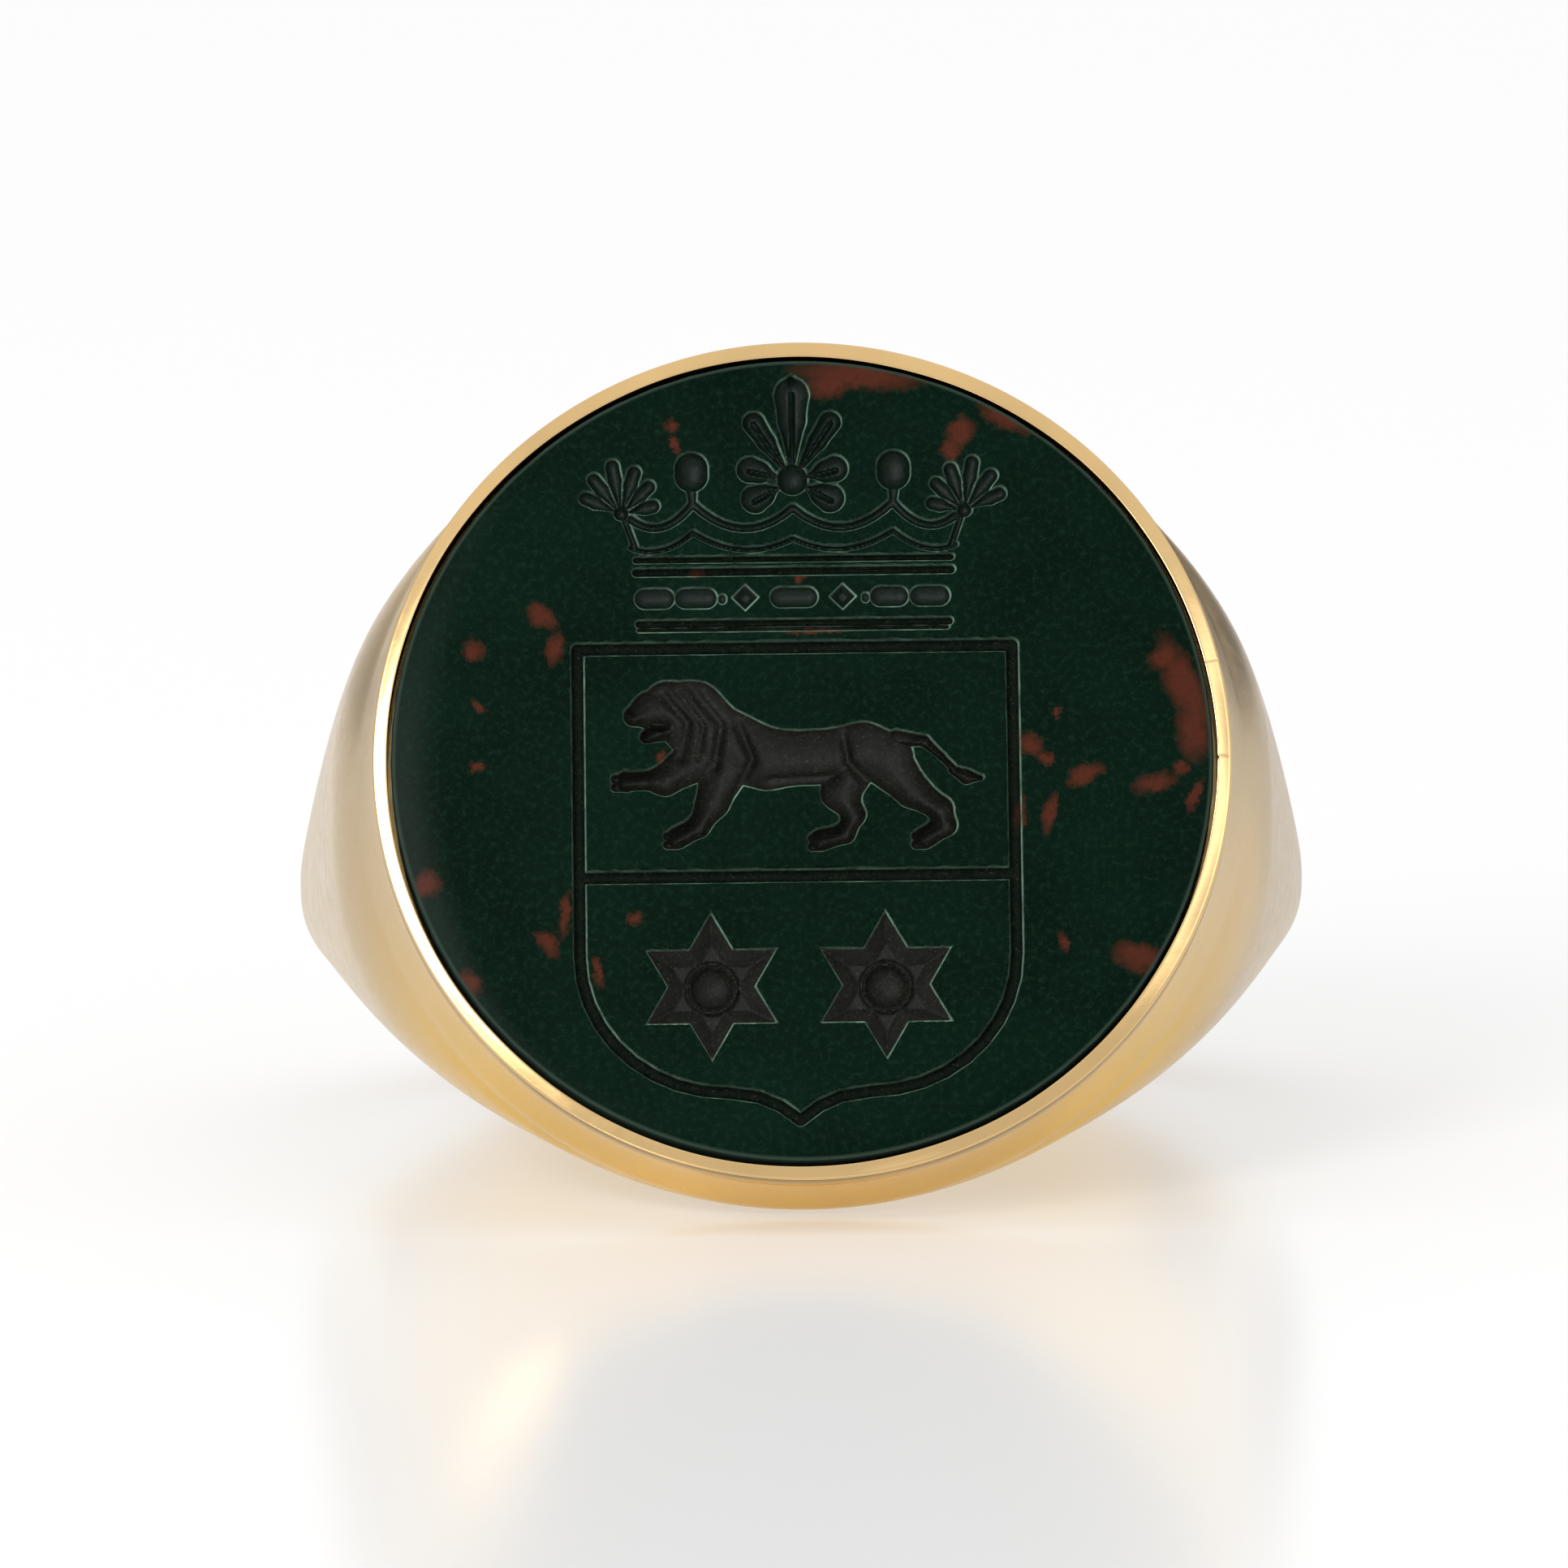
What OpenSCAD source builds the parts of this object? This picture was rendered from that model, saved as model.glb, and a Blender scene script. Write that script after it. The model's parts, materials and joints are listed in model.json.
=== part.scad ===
// Gentleman's signet ring with a round, flat, engraved bloodstone seal.
// The ring lies the way it comes to rest on a table: on the lower edge of the head and the
// lower edge of the hoop's back, with the seal facing -Y and tipped a little upwards.
// The origin is the centre of the finger hole.
// Inside lie(), x runs across the seal, y along the finger and z out of the seal's face.

/* [Finger hole and hoop] */
// Diameter of the finger hole
bore_d = 18.2; // [16.5:0.1:19]
// Thickness of the hoop at its sides
side_t = 1.75; // [1.4:0.05:2.2]
// Thickness of the hoop at its back
back_t = 1.5; // [1.2:0.05:1.9]
// Width of the hoop at its sides, where it meets the head
side_w = 5.2; // [4.6:0.1:6]
// Width of the hoop at its back
back_w = 4; // [3:0.1:4.6]
// Roundness of the hoop's outer side: 2 is an ellipse, more is boxier
dome = 2.55; // [2.2:0.05:3]

/* [Head] */
// Height of the rim above the centre of the finger hole
rim_h = 11.6; // [11.4:0.1:12.5]
// Outer diameter of the rim
rim_d = 18; // [17.5:0.1:18.5]
// Length of the head's foot across the finger, at the top of the finger hole
foot_x = 19.6; // [19:0.1:20.5]
// Length of the head's foot along the finger
foot_y = 18.3; // [18.2:0.1:19]
// How hollow the shoulders are seen along the finger: 1 is straight
shoulder_x = 1.35; // [1.1:0.05:1.8]
// How hollow the head is seen from the side of the finger: 1 is straight
shoulder_y = 1.27; // [1.1:0.01:1.8]

/* [Seal setting] */
// Width of the rim's upper edge, with its bevel
rim_w = 0.3; // [0.25:0.01:0.4]
// Height of the collar strip
collar_h = 0.6; // [0.5:0.05:0.8]
// Bevel on the outer edge of the collar
collar_bevel = 0.12; // [0.08:0.01:0.16]
// Gap between the stone and the collar
stone_gap = 0.1; // [0.05:0.01:0.12]
// Thickness of the stone
stone_t = 1.5; // [1.3:0.05:1.6]
// How far the stone's face lies below the rim
stone_sink = 0.03; // [0.02:0.01:0.06]
// Chamfer around the stone's face
stone_chamfer = 0.1; // [0.06:0.01:0.15]
// Width of the bearer ring that the stone's edge rests on
bearer_w = 1; // [0.6:0.1:1.5]
// Height of the bearer ring, and so of the cement bed inside it
bearer_h = 0.35; // [0.3:0.05:0.4]

/* [Engraving] */
// Depth of the shield's outline and of the grooves in the coronet
groove_depth = 0.2; // [0.1:0.05:0.3]
// Depth of the lion, the stars and the coronet's leaves
charge_depth = 0.3; // [0.2:0.05:0.4]
// Width of the shield's outline
groove_w = 0.3; // [0.2:0.05:0.4]
// Width of the shield, on the middle of its outline
shield_w = 9.1; // [8.6:0.1:9.4]
// Tip radius of a star
star_r = 1.6; // [1.4:0.05:1.7]

/* [Hidden] */

bore_r = bore_d / 2;
side_r = bore_r + side_t;
back_r = bore_r + back_t;
pocket_r = rim_d / 2 - rim_w;
stone_r = pocket_r - stone_gap;
head_top = rim_h - collar_h;
stone_top = rim_h - stone_sink;
stone_base = stone_top - stone_t;
pocket_floor = stone_base - bearer_h;

// The head's lower edge and the hoop's lower edge both stand one bore radius from the origin,
// so the line under them gives the angle at which the ring comes to rest.
tilt = atan((foot_y - back_w) / 2 / bore_d);

round_sides = 72;      // points around the head
shoulder_levels = 16;  // levels from the middle of the hoop up to the head's foot
wall_levels = 4;       // levels from the foot up to the collar
wall_curve = 1.5;      // how much the wall steepens towards the collar: 1 is straight
hoop_steps = 40;       // steps around the shank
hoop_points = 16;      // points across the shank's outer side
arc_fn = 96;
engrave_clear = 0.5;   // how far an engraving tool starts above the stone
cut_over = 1;          // how far a cutter runs past what it cuts

gold = [0.83, 0.66, 0.36];
pale_gold = [0.93, 0.79, 0.5];
bloodstone = [0.05, 0.13, 0.1];
cement = [0.6, 0.57, 0.5];

function mix(from, to, part) = from + (to - from) * part;
function signed_pow(base, power) = sign(base) * pow(abs(base), power);

// Rounded outline with half-lengths a and b; power 2 is an ellipse.
function level_ring(a, b, power, z) =
    [for (i = [0 : round_sides - 1])
        let (angle = 360 * i / round_sides)
        [a * signed_pow(cos(angle), 2 / power), b * signed_pow(sin(angle), 2 / power), z]];

// Half-width that the full outline needs for the hoop to be w wide where it meets the bore.
function outline_half(w, r) = w / 2 / pow(1 - pow(bore_r / r, dome), 1 / dome);
side_b = outline_half(side_w, side_r);
back_b = outline_half(back_w, back_r);

// Levels of the head, from the middle of the hoop up to its foot, and from there to its top.
shoulder_rings =
    [for (i = [0 : shoulder_levels])
        let (part = i / shoulder_levels)
        level_ring(
            mix(side_r, foot_x / 2, pow(part, shoulder_x)),
            mix(side_b, foot_y / 2, pow(part, shoulder_y)),
            mix(dome, 2, part),
            bore_r * part)];
wall_rings =
    [for (i = [1 : wall_levels])
        let (part = i / wall_levels, spread = pow(1 - part, wall_curve))
        level_ring(
            mix(rim_d, foot_x, spread) / 2,
            mix(rim_d, foot_y, spread) / 2,
            2,
            mix(bore_r, head_top, part))];
head_rings = concat(shoulder_rings, wall_rings);

// One cross-section of the shank, turned by angle from the back towards the side.
function hoop_section(angle) =
    let (
        part = 1 - abs(sin(angle)),
        r = mix(side_r, back_r, part),
        b = mix(side_b, back_b, pow(part, 1.5)),
        inner_r = bore_r - cut_over / 2,
        edge = b * pow(1 - pow(inner_r / r, dome), 1 / dome))
    [for (i = [0 : hoop_points])
        let (
            y = edge * sin(mix(-90, 90, i / hoop_points)),
            out = r * pow(1 - pow(abs(y) / b, dome), 1 / dome))
        [out * sin(angle), y, -out * cos(angle)]];

// Solid through a list of closed outlines with the same number of points.
module loft(rings) {
    count = len(rings[0]);
    last = len(rings) - 1;
    sides = [for (j = [0 : last - 1], i = [0 : count - 1])
        let (a = j * count + i, b = j * count + (i + 1) % count)
        each [[a, a + count, b + count], [a, b + count, b]]];
    bottom = [for (i = [0 : count - 1]) i];
    top = [for (i = [count - 1 : -1 : 0]) last * count + i];
    polyhedron([for (ring = rings) each ring], concat(sides, [bottom], [top]));
}

// Puts the ring's own axes into the pose in which it rests.
module lie() {
    rotate([90 - tilt, 0, 0]) children();
}

module finger_hole() {
    rotate([90, 0, 0]) cylinder(r = bore_r, h = 2 * foot_y, center = true, $fn = arc_fn);
}

module shank() {
    color(gold) lie() difference() {
        loft([for (i = [0 : hoop_steps]) hoop_section(mix(-90, 90, i / hoop_steps))]);
        finger_hole();
    }
}

module head() {
    color(gold) lie() difference() {
        loft(head_rings);
        finger_hole();
        translate([0, 0, pocket_floor]) cylinder(r = pocket_r, h = rim_h, $fn = arc_fn);
    }
}

module bezel_collar() {
    outer_r = rim_d / 2;
    color(pale_gold) lie() rotate_extrude($fn = arc_fn) polygon([
        [pocket_r, head_top], [outer_r, head_top], [outer_r, rim_h - collar_bevel],
        [outer_r - collar_bevel, rim_h], [pocket_r, rim_h]]);
}

module bearer_ring() {
    color(gold) lie() translate([0, 0, pocket_floor]) difference() {
        cylinder(r = pocket_r, h = bearer_h, $fn = arc_fn);
        translate([0, 0, -cut_over])
            cylinder(r = pocket_r - bearer_w, h = bearer_h + 2 * cut_over, $fn = arc_fn);
    }
}

module stone_bedding() {
    color(cement) lie() translate([0, 0, pocket_floor])
        cylinder(r = pocket_r - bearer_w, h = bearer_h, $fn = arc_fn);
}

// Stroke between two round ends, as [x, y, radius] each, widening from one to the other.
module stroke(from, to) {
    run = [to[0] - from[0], to[1] - from[1]];
    heading = atan2(run[1], run[0]);
    lean = acos((from[2] - to[2]) / norm(run));
    polygon([
        for (i = [0 : 6])
            let (a = heading + mix(lean, 360 - lean, i / 6))
            [from[0] + from[2] * cos(a), from[1] + from[2] * sin(a)],
        for (i = [0 : 6])
            let (a = heading + mix(-lean, lean, i / 6))
            [to[0] + to[2] * cos(a), to[1] + to[2] * sin(a)]]);
}

// A chain of strokes through a list of [x, y, radius].
module brush(points) {
    for (i = [0 : len(points) - 2]) stroke(points[i], points[i + 1]);
}

// Cuts a flat figure into the stone's face.
module engrave(depth) {
    translate([0, 0, stone_top - depth]) linear_extrude(depth + engrave_clear) children();
}

shield_top = 2.4;       // heights are measured from the middle of the face
shield_bar = -2.5;      // middle of the bar across the shield
shield_low = -4.2;      // where the shield's sides start to curve in
shield_chin = -7.1;     // where the lower curves end
shield_tip = -7.7;
star_x = 1.82;
star_y = -4.85;
crown_w = 6.8;

// Outline of the shield, set in by a margin: straight sides, round lower corners, a pointed tip.
function shield_outline(margin) =
    let (
        half = shield_w / 2 - margin,
        chin_x = 1.5,
        right = concat(
            [[half, shield_top - margin]],
            [for (a = [0 : 15 : 90])
                [mix(chin_x, half, cos(a)), mix(shield_low, shield_chin + margin, sin(a))]],
            [[chin_x / 3, mix(shield_chin, shield_tip, 0.4) + margin]]),
        left = [for (i = [len(right) - 1 : -1 : 0]) [-right[i][0], right[i][1]]])
    concat(right, [[0, shield_tip + margin]], left);

module shield_lines() {
    difference() {
        polygon(shield_outline(-groove_w / 2));
        polygon(shield_outline(groove_w / 2));
    }
    translate([0, shield_bar]) square([shield_w, groove_w], center = true);
}

module star() {
    polygon([for (i = [0 : 11])
        let (r = i % 2 == 0 ? star_r : star_r * 0.56)
        [r * cos(30 * i + 90), r * sin(30 * i + 90)]]);
}

// A lion walking to the left with one forepaw raised.
module lion() {
    brush([[-2.95, 0.75, 0.3], [-2.5, 0.95, 0.5], [-1.9, 0.15, 0.65], [0.3, 0, 0.42],
        [1.8, 0.1, 0.52]]);
    brush([[-2.1, -0.25, 0.3], [-2.9, -0.6, 0.18], [-3.6, -0.45, 0.2]]);
    brush([[-1.6, -0.3, 0.34], [-1.85, -1.2, 0.2], [-2.5, -1.8, 0.18]]);
    brush([[1.4, -0.15, 0.4], [0.85, -0.85, 0.25], [1.15, -1.5, 0.16], [0.55, -1.85, 0.17]]);
    brush([[1.9, -0.1, 0.42], [2.5, -0.9, 0.23], [3, -1.4, 0.16], [2.7, -1.85, 0.17]]);
    brush([[2.1, 0.35, 0.14], [2.9, 0.1, 0.1], [3.3, -0.3, 0.09], [3.75, -0.3, 0.12]]);
}

// The coronet's band: two closed lines with a row of jewels between them.
module crown_band() {
    for (y = [4.3, 4.04, 2.9]) translate([0, y]) square([crown_w, 0.14], center = true);
    for (x = [-2.9, -1.9, 0, 1.9, 2.9]) brush([[x - 0.2, 3.48, 0.24], [x + 0.2, 3.48, 0.24]]);
}

// The coronet's points: a leaf in the middle, a ball either side of it and a fan at each end.
module crown_points() {
    brush([[0, 6, 0.35], [0, 7.2, 0.45], [0, 8, 0.2]]);
    for (side = [-1, 1]) {
        for (lean = [40, 95]) rotate_about([0, 6], side * lean)
            brush([[0, 6.5, 0.12], [0, 7.2, 0.28]]);
        brush([[side * 2.1, 5.6, 0.12], [side * 2.1, 6.2, 0.4]]);
        for (lean = [15, 50]) rotate_about([side * 3.5, 5.3], -side * lean)
            brush([[side * 3.5, 5.3, 0.16], [side * 3.5, 6.1, 0.24]]);
        brush([[side * 3.4, 4.6, 0.12], [side * 3, 4.75, 0.12], [side * 2.1, 5.5, 0.12],
            [side * 1, 4.8, 0.12], [0, 5.1, 0.12]]);
    }
}

module rotate_about(centre, angle) {
    translate(centre) rotate(angle) translate(-centre) children();
}

module seal_stone() {
    color(bloodstone) lie() difference() {
        rotate_extrude($fn = arc_fn) polygon([
            [0, stone_base], [stone_r - stone_chamfer, stone_base],
            [stone_r, stone_base + stone_chamfer], [stone_r, stone_top - stone_chamfer],
            [stone_r - stone_chamfer, stone_top], [0, stone_top]]);
        engrave(groove_depth) shield_lines();
        engrave(groove_depth) crown_band();
        engrave(charge_depth) crown_points();
        engrave(charge_depth) lion();
        for (side = [-1, 1]) engrave(charge_depth) translate([side * star_x, star_y]) star();
    }
}

shank();
head();
bezel_collar();
bearer_ring();
stone_bedding();
seal_stone();
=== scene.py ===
import json
import math

import bmesh
import bpy
import numpy as np
from mathutils import Matrix, Vector


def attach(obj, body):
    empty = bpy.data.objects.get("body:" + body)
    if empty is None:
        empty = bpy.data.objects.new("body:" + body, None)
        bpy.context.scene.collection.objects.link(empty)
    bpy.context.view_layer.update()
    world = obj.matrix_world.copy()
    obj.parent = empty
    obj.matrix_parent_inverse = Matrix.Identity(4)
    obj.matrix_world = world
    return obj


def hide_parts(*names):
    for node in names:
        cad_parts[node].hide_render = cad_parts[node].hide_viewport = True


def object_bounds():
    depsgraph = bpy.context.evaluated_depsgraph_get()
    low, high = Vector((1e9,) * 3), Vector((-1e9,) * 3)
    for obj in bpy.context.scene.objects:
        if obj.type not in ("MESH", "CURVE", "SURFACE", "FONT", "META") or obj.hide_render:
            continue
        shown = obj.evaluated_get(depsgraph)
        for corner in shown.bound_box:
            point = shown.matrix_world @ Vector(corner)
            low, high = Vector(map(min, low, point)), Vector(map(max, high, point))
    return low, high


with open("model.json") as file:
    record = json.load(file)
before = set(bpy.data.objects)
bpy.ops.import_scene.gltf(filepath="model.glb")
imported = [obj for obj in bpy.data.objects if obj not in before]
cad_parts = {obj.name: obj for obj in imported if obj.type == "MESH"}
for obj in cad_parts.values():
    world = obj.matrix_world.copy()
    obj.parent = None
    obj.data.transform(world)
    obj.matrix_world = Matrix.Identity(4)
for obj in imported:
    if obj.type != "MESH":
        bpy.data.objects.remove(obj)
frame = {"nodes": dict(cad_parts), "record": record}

cad_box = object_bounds()

# ---- The ring's own axes and sizes, in millimetres, read from the frame:
# u runs across the seal, v along the finger, n out of the seal's face.
MM = 0.001
mounts = {mount["name"]: mount for mount in frame["record"]["mounts"]}
finger_axis = np.array(mounts["finger_bore"]["axis"])
seal_axis = np.array(mounts["seal_face"]["axis"])
RING_AXES = np.array([np.cross(finger_axis, seal_axis), finger_axis, seal_axis])


def to_row(points):
    """Ring points in millimetres, as row-frame points in metres."""
    return np.asarray(points) @ RING_AXES * MM


def ring_box(node):
    """Lowest and highest corner of a CAD node along the ring's own axes, in millimetres."""
    corners = np.array([v.co for v in frame["nodes"][node].data.vertices])
    local = corners @ RING_AXES.T / MM
    return local.min(0), local.max(0)


collar_low, collar_high = ring_box("bezel_collar")
stone_low, stone_high = ring_box("seal_stone")
bearer_low, bearer_high = ring_box("bearer_ring")
shank_low, shank_high = ring_box("shank")

BORE_R = mounts["finger_bore"]["dims"]["r_mm"]
SIDE_R = shank_high[0]
BACK_R = -shank_low[2]
RIM_R = collar_high[0]
RIM_H = collar_high[2]
HEAD_TOP = collar_low[2]
POCKET_R = bearer_high[0]
POCKET_FLOOR = bearer_low[2]
STONE_R = stone_high[0]
STONE_TOP = stone_high[2]
STONE_BASE = stone_low[2]

FOOT_U = 9.68          # half-length of the head's foot across the finger
FOOT_V = mounts["finger_bore"]["dims"]["length_mm"] / 2 + 0.08
SIDE_V = 3.87          # half-width of the hoop's full outline at its sides
BACK_V = 3.12          # and at its back
DOME = 2.45            # roundness of the outline: 2 is an ellipse, more is boxier
DOME_FADE = 2.2        # how late the outline turns into a circle on its way up
SHOULDER_U = 1.15      # how hollow the shoulders are, seen along the finger
SHOULDER_V = 1.5       # how hollow the head is, seen from the side of the finger
SPREAD_V = 0.55        # share of the widening that is straight, seen from there
BULGE_V = 0.15         # extra fullness half-way up, seen from there
WALL_CURVE = 1.55      # how much the wall steepens towards the collar
BLEND_U = 1.2          # how softly wall and shoulder meet at the sides
BLEND_V = 0.4          # and at the head's two ends
CORNER = 0.3           # how much boxier the outline is half-way up
EDGE = 0.22            # size of the rounding along the finger hole's edge


# ---- Small helpers ----
def smooth_min(a, b, width):
    """The lower of two values, rounded where they meet."""
    part = np.clip(0.5 + 0.5 * (b - a) / width, 0, 1)
    return b + (a - b) * part - width * part * (1 - part)


def dent(value, middle, width):
    """1 where a value is at the middle, fading to 0 on both sides of it."""
    return np.exp(-((value - middle) / width) ** 2)


def signed_power(base, power):
    return np.sign(base) * np.abs(base) ** power


def grid_faces(grid, closed=False):
    """Quads between the rows and columns of a grid of vertex numbers."""
    if closed:
        grid = np.concatenate([grid, grid[:, :1]], axis=1)
    a, b, c, d = grid[:-1, :-1], grid[:-1, 1:], grid[1:, 1:], grid[1:, :-1]
    return np.stack([a, b, c, d], axis=-1).reshape(-1, 4).tolist()


class Solid:
    """Collects grids and polygons of points into one closed mesh."""

    def __init__(self):
        self.points = []
        self.faces = []
        self.count = 0

    def add_points(self, points):
        points = np.asarray(points, float)
        numbers = np.arange(points[..., 0].size).reshape(points.shape[:-1]) + self.count
        self.points.append(points.reshape(-1, 3))
        self.count += numbers.size
        return numbers

    def add_grid(self, points, closed=False):
        numbers = self.add_points(points)
        self.faces += grid_faces(numbers, closed)
        return numbers

    def add_polygon(self, points):
        self.faces.append(self.add_points(points).tolist())

    def build(self, name, merge=0.0004):
        """Makes the object, with double points merged and its faces turned outwards."""
        mesh = bpy.data.meshes.new(name)
        mesh.from_pydata(np.concatenate(self.points).tolist(), [], self.faces)
        work = bmesh.new()
        work.from_mesh(mesh)
        bmesh.ops.remove_doubles(work, verts=work.verts, dist=merge)
        bmesh.ops.dissolve_degenerate(work, edges=work.edges, dist=merge / 4)
        bmesh.ops.recalc_face_normals(work, faces=work.faces)
        work.to_mesh(mesh)
        work.free()
        co = np.array([v.co for v in mesh.vertices])
        mesh.vertices.foreach_set("co", to_row(co).astype(np.float32).ravel())
        return finish_mesh(name, mesh)


def finish_mesh(name, mesh, crease=35):
    """Smooth shading with sharp creases, and the object in the scene."""
    mesh.update()
    mesh.shade_smooth()
    mesh.set_sharp_from_angle(angle=math.radians(crease))
    piece = bpy.data.objects.new(name, mesh)
    bpy.context.scene.collection.objects.link(piece)
    return piece


def place(piece, node, material):
    """The piece stands for a CAD node, takes the given material and rides on the ring."""
    piece.data.materials.append(material)
    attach(piece, "root")
    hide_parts(node)
    return piece


# ---- Gold body: outlines, the edge of the finger hole, head and shank ----
def outline(n):
    """Half-lengths and roundness of the head's outline at a height above the bore's centre."""
    part = np.clip(n / BORE_R, 0, None)
    rise = np.clip((HEAD_TOP - n) / (HEAD_TOP - BORE_R), 0, None) ** WALL_CURVE
    bulge = BULGE_V * 4 * part * np.clip(1 - part, 0, None)
    half_u = smooth_min(SIDE_R + (FOOT_U - SIDE_R) * part ** SHOULDER_U,
                        RIM_R + (FOOT_U - RIM_R) * rise, BLEND_U)
    widening = SPREAD_V * part + (1 - SPREAD_V) * part ** SHOULDER_V
    half_v = smooth_min(SIDE_V + (FOOT_V - SIDE_V) * widening + bulge,
                        RIM_R + (FOOT_V - RIM_R) * rise, BLEND_V)
    part = np.minimum(part, 1)
    power = DOME + (2 - DOME) * part ** DOME_FADE + CORNER * 4 * part * (1 - part)
    return half_u, half_v, power


def head_point(t, n):
    """Point of the head's outer side at outline angle t and height n."""
    half_u, half_v, power = outline(n)
    return np.stack([half_u * signed_power(np.cos(t), 2 / power),
                     half_v * signed_power(np.sin(t), 2 / power),
                     n * np.ones_like(t)], axis=-1)


def head_excess(points):
    """Below 0 inside the head's outer side, 0 on it."""
    half_u, half_v, power = outline(points[..., 2])
    return (np.abs(points[..., 0]) / half_u) ** power + \
        (np.abs(points[..., 1]) / half_v) ** power - 1


def head_slope(points, step=1e-4):
    return np.stack([(head_excess(points + step * axis) - head_excess(points - step * axis))
                     / (2 * step) for axis in np.eye(3)], axis=-1)


def unit(vectors):
    return vectors / np.linalg.norm(vectors, axis=-1, keepdims=True)


def rounding(start, corner, end, rows):
    """Rows of points along a curve from start to end that turns at the corner."""
    s = np.linspace(0, 1, rows)[:, None, None]
    return (1 - s) ** 2 * start + 2 * s * (1 - s) * corner + s ** 2 * end


HOOP_STEPS = 180       # columns along the half of the hoop that a piece covers
ACROSS = 44            # points across the hoop's outer side
ROUND_ROWS = 7         # rows in the rounding along the finger hole's edge
UP_ROWS = 60           # rows from there up to the collar
BORE_ROWS = 24         # rows across the wall of the finger hole


def head_edge():
    """Edge of the finger hole in the head, for v above 0, from one side over the top to the
    other: the corner itself, where its rounding starts on the outer side, and the outline
    angle and height there."""
    turn = np.radians(np.linspace(90, -90, HOOP_STEPS + 1))
    u, n = BORE_R * np.sin(turn), BORE_R * np.maximum(np.cos(turn), 0)
    half_u, half_v, power = outline(n)
    v = half_v * (1 - (np.abs(u) / half_u) ** power) ** (1 / power)
    corner = np.stack([u, v, n], axis=-1)
    along = unit(np.gradient(corner, axis=0))
    along[0] = along[-1] = (0, 0, 1)
    outwards = unit(np.cross(along, unit(head_slope(corner))))
    radial = np.stack([u, 0 * u, n], axis=-1)
    outwards *= np.sign(np.sum(outwards * radial, axis=-1, keepdims=True))
    start = corner + EDGE * outwards
    start[0, 2] = start[-1, 2] = 0
    for _ in range(4):
        slope = head_slope(start)
        slope[0, 2] = slope[-1, 2] = 0
        start -= head_excess(start)[:, None] * slope / np.sum(slope ** 2, -1, keepdims=True)
    half_u, half_v, power = outline(start[:, 2])
    t = np.arctan2((np.abs(start[:, 1]) / half_v) ** (power / 2),
                   signed_power(start[:, 0] / half_u, power / 2))
    return corner, start, t, start[:, 2]


def bore_grid(corner):
    """Wall of the finger hole between the roundings of its two edges."""
    reach = corner[:, 1] - EDGE
    wall = np.repeat(corner[None], BORE_ROWS, axis=0)
    wall[..., 1] = reach * np.linspace(1, -1, BORE_ROWS)[:, None]
    return wall


def flip_v(points):
    return points * np.array([1, -1, 1])


def edge_strips(solid, start, corner):
    """The rounding along both edges of the finger hole, and its wall between them."""
    on_bore = corner - np.array([0, EDGE, 0])
    strip = rounding(start, corner, on_bore, ROUND_ROWS)
    solid.add_grid(strip)
    solid.add_grid(flip_v(strip))
    solid.add_grid(bore_grid(corner))


def make_head(material):
    solid = Solid()
    corner, start, t_edge, n_edge = head_edge()

    # outer side, column by column round the head, from its lower border up to the collar
    t_side = np.linspace(-t_edge[0], t_edge[0], ACROSS)
    t_all = np.concatenate([t_side, t_edge[1:-1], math.pi + t_side, -t_edge[1:-1][::-1]])
    n_side = np.zeros(ACROSS)
    n_all = np.concatenate([n_side, n_edge[1:-1], n_side, n_edge[1:-1][::-1]])
    rise = np.linspace(0, 1, UP_ROWS)[:, None]
    n_rows = n_all + (HEAD_TOP - n_all) * rise
    solid.add_grid(head_point(np.broadcast_to(t_all, n_rows.shape), n_rows), closed=True)

    # seat under the collar, pocket wall and floor
    circle = np.stack([np.cos(t_all), np.sin(t_all), 0 * t_all], axis=-1)
    up = np.array([0, 0, 1])
    rings = [head_point(t_all, HEAD_TOP), POCKET_R * circle + HEAD_TOP * up,
             POCKET_R * circle + POCKET_FLOOR * up]
    solid.add_grid(np.array(rings), closed=True)
    solid.add_polygon(rings[-1])

    edge_strips(solid, start, corner)

    # the two flat ends that meet the shank
    outer = head_point(np.linspace(t_edge[0], -t_edge[0], ACROSS), np.zeros(ACROSS))
    strip = rounding(start[:1], corner[:1], corner[:1] - np.array([0, EDGE, 0]), ROUND_ROWS)[:, 0]
    end = section_loop(outer, strip)
    solid.add_polygon(end)
    solid.add_polygon(end * np.array([-1, 1, 1]))
    return place(solid.build("head_gold"), "head", material)


def section_loop(outer, strip):
    """Closed outline of the hoop's cross-section: outer side, rounding, bore wall, rounding."""
    bore_side = np.linspace(1, -1, BORE_ROWS)[:, None] * np.array([0, strip[-1][1], 0])
    bore_side = strip[-1] * np.array([1, 0, 1]) + bore_side
    lower = flip_v(strip)
    return np.concatenate([outer, lower[1:], bore_side[::-1][1:], strip[1:-1][::-1]])


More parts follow.
